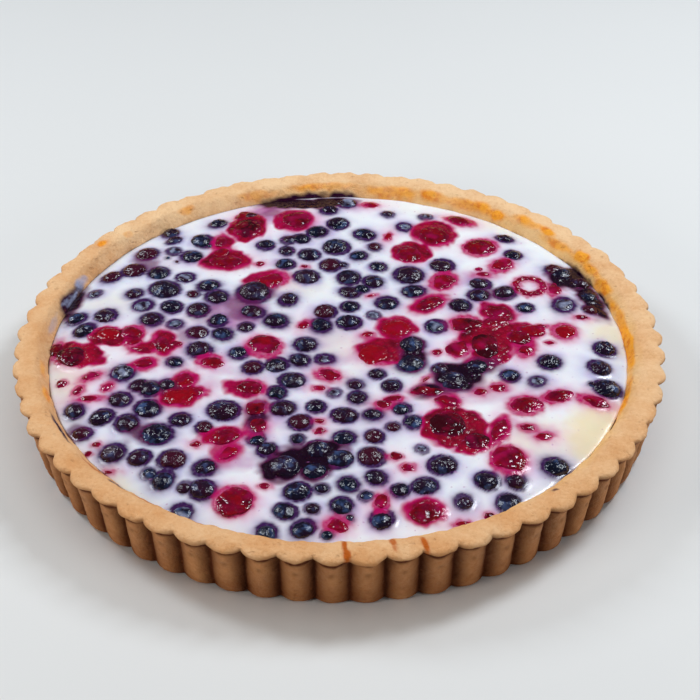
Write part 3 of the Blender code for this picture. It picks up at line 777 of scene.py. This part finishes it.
# The custard is a white baked cream poured over the fruit and set by the oven's heat. It climbs a little up
# each berry, is stained lavender by blueberries and magenta by raspberries, and holds pools of their juice.
CUSTARD_GRID = 305
CUSTARD_BOTTOM = 5.3
CUSTARD_FOOT_SHARE = 0.957
BLUEBERRY_CLIMB, BLUEBERRY_CLIMB_REACH = 0.5, 1.3
RASPBERRY_CLIMB, RASPBERRY_CLIMB_REACH = 0.45, 1.6
EDGE_DIP, EDGE_DIP_REACH = 0.25, 0.7
CUSTARD_SWELL, CUSTARD_RIPPLE = 0.16, 0.07

# How far each stain and the painted gap shadow at the left edge fade out, in millimetres,
# and how much halos are shifted and spread at random
BLUE_RING_REACH, BLUE_MIST_REACH = 0.85, 3.6
RED_RING_REACH, RED_MIST_REACH = 0.9, 3.4
CRIMSON_SOFT, PURPLE_SOFT, MAUVE_SOFT, CREAMY_SOFT = 3.6, 5.0, 6.0, 9.0
GAP_SHADOW_REACH, GAP_SHADOW_SIDE = 0.5, 0.35
HALO_SHIFT, HALO_SPREAD, HALO_LEAST, HALO_FULL_HALF = 0.1, (0.6, 1.5), 0.4, 7.0

# Juice lying in the custard: across, along, half length, half width, turn in degrees, strength
CRIMSON_POOLS = [
    (67, 3, 16, 9, 10, 1.0), (66, -10, 11, 8, 60, 1.0), (76, 6, 9, 6, 20, 0.8),
    (58, -18, 8, 5, 70, 0.6), (46, -60, 13, 13, 0, 1.0), (53, -71, 8, 5, 20, 1.0),
    (64, -62, 8, 4, 70, 0.8), (45, -45, 5, 5, 0, 0.8), (-112, -9, 12, 8, -30, 1.0),
    (-100, 3, 9, 7, 10, 1.0), (-91, 4, 6, 5, 0, 0.8), (-82, -5, 8, 4, 20, 0.9),
    (-76, -1, 5, 9, 10, 0.9), (-44, 92, 9, 12, -15, 1.0), (-54, 78, 7, 4, 70, 0.8),
    (-53, 63, 12, 8, 5, 0.9), (-22, 98, 10, 10, 45, 0.7), (46, 86, 11, 12, 10, 0.8),
    (34, 69, 10, 9, 0, 0.9), (59, 98, 8, 5, -25, 0.7), (-47, -64, 9, 6, 10, 0.8),
    (-45, -73, 7, 7, 0, 0.5), (-66, -38, 9, 8, 0, 0.9), (-65, -28, 5, 5, 80, 0.9),
    (-35, 47, 10, 7, 20, 0.7), (20, -8, 13, 9, 0, 0.9), (25, 8, 9, 9, 60, 0.8),
    (71, 19, 9, 7, -35, 0.8), (-83, -17, 6, 4, 30, 0.7), (66, -80, 8, 9, 0, 0.4),
    (48, 44, 8, 5, 60, 0.6), (-40, -34, 9, 6, -20, 0.7), (78, -2, 8, 8, 0, 0.5),
    (40, 26, 10, 6, 38, 0.7), (31.8, -108.8, 8, 6.3, 5, 0.8),
]
PURPLE_POOLS = [
    (-21, 117, 22, 6, -6, 1.0), (-4, 118, 12, 6, 0, 1.0), (-33, 107, 6, 6, 30, 0.4),
    (-43, 25, 9, 12, 0, 0.45), (-36, 38, 9, 8, 0, 0.5), (-13, -79, 14, 8, -10, 0.9),
    (-6, -74, 9, 6, 0, 0.9), (-23, -85, 9, 8, 0, 0.9), (-11, -88, 7, 5, 0, 0.7),
    (107, 49, 12, 9, 40, 1.0), (114, 30, 6, 15, 15, 0.9), (-121, 32, 5, 14, -12, 0.85),
    (50, -27, 11, 10, 0, 0.85), (38, -36, 8, 5, 20, 0.8), (32, -11, 6, 13, 0, 0.8),
    (-34, -53, 5, 12, 0, 0.7), (-80, -62, 9, 6, -30, 0.6), (-78, -33, 10, 5, 0, 0.6),
    (-60, 20, 9, 9, 0, 0.3), (-66, 4, 6, 6, 0, 0.4), (62, -19, 8, 6, 0, 0.6), (-91, 63, 6, 10, 30, 0.5),
    (-107, -60, 6, 8, -30, 0.5), (71, 34, 9, 6, 0, 0.5),
]
MAUVE_POOLS = [
    (-33, 108, 11, 10, 30, 1.0), (-46, 21, 14, 13, 20, 0.9), (-41, -80, 9, 5, 0, 0.7),
    (-6, 8, 12, 16, 0, 0.25), (5, -12, 12, 5, 20, 0.35), (13, 0, 8, 5, 40, 0.5),
    (-40, -25, 14, 4, -15, 0.4), (60, -38, 12, 6, 0, 0.45), (90, -38, 12, 6, 0, 0.3),
    (77, -62, 9, 5, -20, 0.4), (62, 48, 12, 5, 20, 0.45), (20, -45, 8, 5, 0, 0.4),
    (5, 112, 8, 5, 0, 0.4), (-62, 12, 12, 10, 0, 0.25), (-85, 62, 12, 10, 0, 0.25),
    (100, 12, 10, 6, 0, 0.15), (-78, -48, 18, 14, 0, 0.25), (-60, -30, 16, 6, 0, 0.35),
    (0, -55, 26, 14, 0, 0.2), (-28, 62, 16, 16, 0, 0.15),
]
CREAMY_AREAS = [
    (104, -62, 22, 13, 60, 1.0), (118, 2, 9, 14, 0, 0.8), (-88, -92, 20, 5, -45, 0.7),
    (60, -30, 18, 10, 0, 0.3), (-20, 42, 14, 10, 0, 0.35), (80, -70, 18, 12, 30, 0.5),
    (-116, -22, 8, 22, 10, 0.5), (112, -50, 10, 14, 30, 0.9), (0, -5, 16, 12, 0, 0.3),
    (15, -20, 10, 8, 0, 0.25), (-104, 28, 14, 10, 0, 0.3), (80, 95, 14, 8, -40, 0.35),
]

CUSTARD_WHITE = (0.96, 0.95, 0.955)
CUSTARD_CREAM = (0.94, 0.78, 0.52)
LAVENDER = (0.40, 0.33, 0.66)
VIOLET = (0.045, 0.010, 0.075)
ROSE = (0.82, 0.24, 0.50)
MAGENTA = (0.50, 0.003, 0.11)
GAP_SHADOW = (0.10, 0.04, 0.03)
JUICE_CRIMSON = (0.36, 0.001, 0.026)
PLUM = (0.15, 0.012, 0.085)
JUICE_PURPLE = (0.012, 0.001, 0.010)
MAUVE = (0.44, 0.12, 0.36)


def disc_grid(count):
    """A square grid of points pressed out to a disc of radius 1, row by row."""
    span = np.linspace(-1.0, 1.0, count)
    u, v = np.meshgrid(span, span)
    wide = np.abs(u) > np.abs(v)
    radius = np.where(wide, u, v)
    ratio = np.where(wide, v, u) / np.where(radius == 0.0, 1.0, radius)
    angle = np.where(wide, math.pi / 4.0 * ratio, math.pi / 2.0 - math.pi / 4.0 * ratio)
    return np.stack([radius * np.cos(angle), radius * np.sin(angle)], -1)


def blot(points, x, y, half_length, half_width, turn):
    """Distance in millimetres from an oval's edge, negative inside it."""
    c, s = math.cos(turn), math.sin(turn)
    dx, dy = points[:, 0] - x, points[:, 1] - y
    across, along = (c * dx + s * dy) / half_length, (c * dy - s * dx) / half_width
    return (np.hypot(across, along) - 1.0) * min(half_length, half_width)


def pools(points, spots, draw, soft):
    """How much of the listed spots lies on each point, with wandering edges."""
    ragged = 0.9 * waves(points, 9.0, draw) + 0.4 * waves(points, 4.5, draw)
    found = np.zeros(len(points))
    for x, y, half_length, half_width, turn, strength in spots:
        edge = blot(points, x, y, half_length, half_width, math.radians(turn)) + ragged
        found = np.maximum(found, strength * np.clip(0.5 - edge / soft, 0.0, 1.0))
    return found


def halo(points, berries, reach, draw, ragged=0.0):
    """A stain round each berry that fades over the given reach."""
    found = np.zeros(len(points))
    for x, y, halves, turn, *_ in berries:
        x, y = (x, y) + draw.normal(scale=HALO_SHIFT * halves[1], size=2)
        edge = np.clip(blot(points, x, y, *halves, turn) + ragged, 0.0, None) * draw.uniform(*HALO_SPREAD)
        small = min(1.0, HALO_LEAST + halves[0] / HALO_FULL_HALF)
        found = np.maximum(found, small * np.exp(-edge / reach / small))
    return found


def build_custard():
    """The filling as one closed piece, with a mask for each stain and one for the painted gap shadow on its
    top.
    """
    draw = np.random.default_rng(SEED + 5)
    unit = disc_grid(CUSTARD_GRID).reshape(-1, 2)
    shift = math.radians(INNER_SHIFT_DEGREES)
    toward = unit @ np.array([math.cos(shift), math.sin(shift)]) * np.hypot(*unit.T)
    flat = unit * (CUSTARD_EDGE + INNER_SHIFT * toward)[:, None]
    blues, reds = large_blueberries + small_blueberries, large_raspberries + raspberry_bits
    radius = np.hypot(*unit.T) * CUSTARD_EDGE
    masks = {
        "blue_ring": halo(flat, blues, BLUE_RING_REACH, draw, 0.25 * waves(flat, 3.0, draw) - 0.15),
        "blue_mist": halo(flat, blues, BLUE_MIST_REACH, draw, 0.8 * waves(flat, 8.0, draw)),
        "red_ring": halo(flat, reds, RED_RING_REACH, draw, 0.5 * waves(flat, 4.0, draw) - 0.2),
        "red_mist": halo(flat, reds, RED_MIST_REACH, draw, 0.8 * waves(flat, 6.0, draw)),
        "crimson": pools(flat, CRIMSON_POOLS, draw, CRIMSON_SOFT),
        "purple": pools(flat, PURPLE_POOLS, draw, PURPLE_SOFT),
        "mauve": pools(flat, MAUVE_POOLS, draw, MAUVE_SOFT),
        "creamy": pools(flat, CREAMY_AREAS, draw, CREAMY_SOFT),
        "gap_shadow": np.exp((radius - CUSTARD_EDGE) / GAP_SHADOW_REACH) * np.clip(GAP_SHADOW_SIDE - unit[:, 0], 0.0, 1.0),
    }
    height = custard_level(*flat.T) + CUSTARD_SWELL * waves(flat, 30.0, draw)
    height += CUSTARD_RIPPLE * waves(flat, 9.0, draw)
    height += BLUEBERRY_CLIMB * halo(flat, blues, BLUEBERRY_CLIMB_REACH, draw)
    height += RASPBERRY_CLIMB * halo(flat, reds, RASPBERRY_CLIMB_REACH, draw)
    height -= EDGE_DIP * np.exp(-(CUSTARD_EDGE - radius) / EDGE_DIP_REACH)
    top = np.column_stack([flat, height])
    index = np.arange(CUSTARD_GRID**2).reshape(CUSTARD_GRID, CUSTARD_GRID)
    quads = np.stack([index[:-1, :-1], index[:-1, 1:], index[1:, 1:], index[1:, :-1]], -1).reshape(-1, 4)
    border = np.concatenate([index[0, :-1], index[:-1, -1], index[-1, :0:-1], index[:0:-1, 0]])
    foot = top[border] * (CUSTARD_FOOT_SHARE, CUSTARD_FOOT_SHARE, 0.0) + (0.0, 0.0, CUSTARD_BOTTOM)
    foot_ring = np.arange(len(border)) + len(top)
    skirt = np.stack([np.roll(border, -1), border, foot_ring, np.roll(foot_ring, -1)], -1)
    points = np.concatenate([top, foot, [(0.0, 0.0, CUSTARD_BOTTOM)]])
    hidden = np.zeros(len(foot) + 1)
    masks = {name: np.append(values, hidden) for name, values in masks.items()}
    under = fan(len(points) - 1, foot_ring)[:, ::-1]
    return add_piece("custard_filling", points, [quads, skirt, under], custard_finish(), masks)


def custard_finish():
    """Glossy white custard with the fruits' stains and pools of juice set in clots, with painted shade in
    their creases.
    """
    finish = Finish("set_custard", Specular_IOR_Level=0.4, Subsurface_Weight=0.15)
    broad, fine = finish.grain(7.0, 2.0), finish.grain(1.2, 3.0, 0.6)
    base = finish.blend(finish.mask("creamy"), CUSTARD_WHITE, CUSTARD_CREAM)
    base = finish.blend((finish.mask("blue_mist") * (0.1 + 1.0 * broad)).clipped(), base, LAVENDER)
    base = finish.blend((finish.mask("red_mist") * (0.1 + 0.8 * broad)).clipped(), base, ROSE)
    base = finish.blend(finish.mask("mauve") * (0.4 + 0.8 * broad), base, MAUVE)
    base = finish.blend((finish.mask("blue_ring") * (0.8 + 0.4 * fine)).clipped(), base, VIOLET)
    base = finish.blend((finish.mask("red_ring") * (0.6 + 0.6 * fine)).clipped(), base, MAGENTA)
    crimson, purple, lumps = finish.mask("crimson"), finish.mask("purple"), finish.lumps(2.6)
    thick = (crimson + 0.3 * (fine - 0.5)).steps_up(0.4, 0.9)
    red_juice = finish.blend(thick, MAGENTA, JUICE_CRIMSON)
    # Dark clots in the thick juice, and painted shade in the creases between its lumps
    clots_and_crease_shade = thick * (0.5 * (1.0 - lumps) + 2.2 * (broad - 0.48))
    red_juice = finish.blend(clots_and_crease_shade.clipped(), red_juice, BLACK_CRIMSON)
    base = finish.blend(crimson.steps_up(0.05, 0.6), base, red_juice)
    dark_juice = finish.blend((purple + 0.3 * (fine - 0.5)).steps_up(0.4, 0.85), PLUM, JUICE_PURPLE)
    base = finish.blend(purple.steps_up(0.05, 0.75), base, dark_juice)
    # Painted shadow at the edge where the custard meets the crust, strongest on the left
    base = finish.blend(finish.mask("gap_shadow") * (0.3 + broad), base, GAP_SHADOW)
    specks = finish.grain(1.0, 0.0).steps_up(0.78, 0.84)
    base = finish.blend(specks * 0.4, base, MAUVE)
    finish.set(Base_Color=base, Roughness=0.12 + 0.2 * broad)
    juicy = (crimson + purple * 0.6).clipped()
    finish.bump(broad * 0.2 + fine * 0.08 + juicy * (lumps * 0.8 + fine * 0.3), 0.9, 0.7)
    return finish


custard = build_custard()
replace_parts(custard, "custard")

# The cake rests on a plain pale floor under a big soft light from above and one from each side of the
# front. Two narrow lights behind make the glints on the wet fruit. The camera looks down from the front.
CAMERA_PLACE = (0.0, -0.5210, 0.4068)
CAMERA_DOWN_DEGREES = 36.02
CAMERA_ROLL_DEGREES = -0.34
CAMERA_LENS = 76.4
IMAGE_SIZE = 700.0
RIM_CENTRE_PIXEL = (339.3, 331.4)
FLOOR_HALF = 4.0
FLOOR_GAP = 0.0002
FLOOR_COLOUR = (0.80, 0.79, 0.77)
FLOOR_TONE = (0.7, 0.69, 0.68)
SKY_COLOUR = (0.92, 0.96, 1.0, 1.0)
SKY_STRENGTH = 0.05
DAYLIGHT = (0.84, 0.92, 1.0)

# Name, place, size, power, colour, whether it glints
LIGHTS = [
    ("overhead", (0.0, 0.0, 1.2), (1.0, 1.0), 4.5, (1.0, 0.98, 0.95), False),
    ("fill_right", (0.9, -0.5, 0.4), (0.3, 0.3), 2.0, (0.97, 0.98, 1.0), False),
    ("fill_left", (-0.9, -0.55, 0.4), (0.3, 0.3), 3.2, (1.0, 0.97, 0.93), False),
    ("window_right", (0.6, 0.39, 0.86), (0.2, 0.4), 6.6, DAYLIGHT, True),
    ("window_left", (-0.75, 0.42, 0.74), (0.18, 0.4), 4.6, DAYLIGHT, True),
]


def add_light(name, place, size, power, colour, glints):
    """A soft rectangular light that faces the middle of the cake, with or without a glint of its own."""
    lamp = bpy.data.lights.new(name, "AREA")
    lamp.shape = "RECTANGLE"
    lamp.size, lamp.size_y = size
    lamp.energy = power
    lamp.color = colour
    light = bpy.data.objects.new(name, lamp)
    bpy.context.scene.collection.objects.link(light)
    light.location = place
    light.visible_glossy = glints
    light.rotation_euler = light.location.to_track_quat("Z", "Y").to_euler()


def build_floor():
    """A large flat sheet just under the cake."""
    mesh = bpy.data.meshes.new("floor")
    square = ((-1, -1), (1, -1), (1, 1), (-1, 1))
    corners = [(x * FLOOR_HALF, y * FLOOR_HALF, -FLOOR_GAP) for x, y in square]
    mesh.from_pydata(corners, [], [(0, 1, 2, 3)])
    floor = bpy.data.objects.new("floor", mesh)
    bpy.context.scene.collection.objects.link(floor)
    finish = Finish("pale_floor", Roughness=0.6)
    finish.set(Base_Color=finish.blend(finish.grain(40.0) * 0.1, FLOOR_COLOUR, FLOOR_TONE))
    mesh.materials.append(finish.material)


build_floor()
for light in LIGHTS:
    add_light(*light)

world = bpy.data.worlds.new("studio")
world.use_nodes = True
sky = world.node_tree.nodes["Background"]
sky.inputs["Color"].default_value = SKY_COLOUR
sky.inputs["Strength"].default_value = SKY_STRENGTH
bpy.context.scene.world = world
bpy.context.scene.view_settings.view_transform = "Standard"

view = bpy.data.cameras.new("camera")
view.lens = CAMERA_LENS
view.shift_x = (IMAGE_SIZE / 2.0 - RIM_CENTRE_PIXEL[0]) / IMAGE_SIZE
view.shift_y = (RIM_CENTRE_PIXEL[1] - IMAGE_SIZE / 2.0) / IMAGE_SIZE
camera = bpy.data.objects.new("camera", view)
bpy.context.scene.collection.objects.link(camera)
tilt = Matrix.Rotation(math.radians(90.0 - CAMERA_DOWN_DEGREES), 4, "X")
camera.matrix_world = Matrix.Translation(CAMERA_PLACE) @ tilt @ Matrix.Rotation(
    math.radians(CAMERA_ROLL_DEGREES), 4, "Z"
)
bpy.context.scene.camera = camera

bpy.context.view_layer.update()
